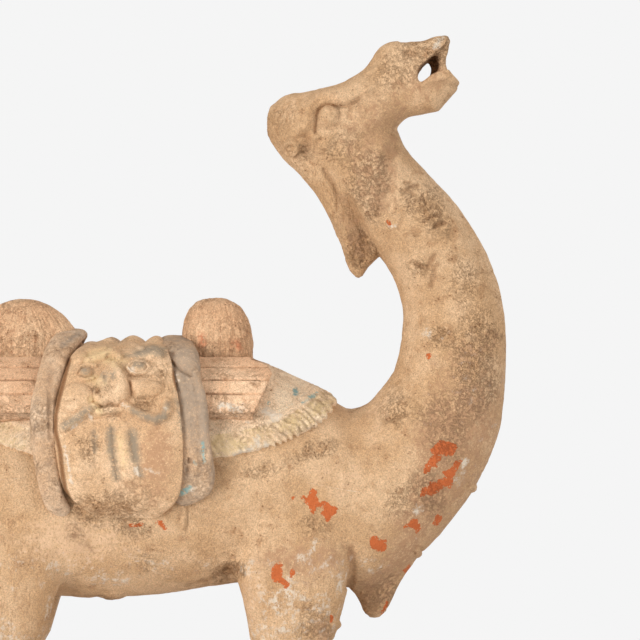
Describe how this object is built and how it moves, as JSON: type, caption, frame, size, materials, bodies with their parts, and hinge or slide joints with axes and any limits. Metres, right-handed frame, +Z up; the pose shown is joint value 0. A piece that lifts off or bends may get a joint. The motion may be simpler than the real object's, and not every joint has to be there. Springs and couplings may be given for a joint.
{
  "type": "pottery camel figure",
  "caption": "Standing Bactrian camel of painted pottery with raised head and open mouth, carrying a mask-fronted bag between its humps, on a thin plinth slab",
  "frame": {"origin": "centre of the figure's bounding box, on the underside of the plinth slab", "axes": "+X runs from tail to head, +Y to the camel's left flank, +Z up"},
  "size_m": [0.3866, 0.1568, 0.565],
  "materials": {
    "painted_clay": "unglazed low-fired clay, pale tan and matt, with worn slip, orange-red, grey, yellow and blue-green paint remains and brown burial soil"
  },
  "bodies": {
    "root": {"pottery_camel": "painted_clay"}
  },
  "joints": []
}
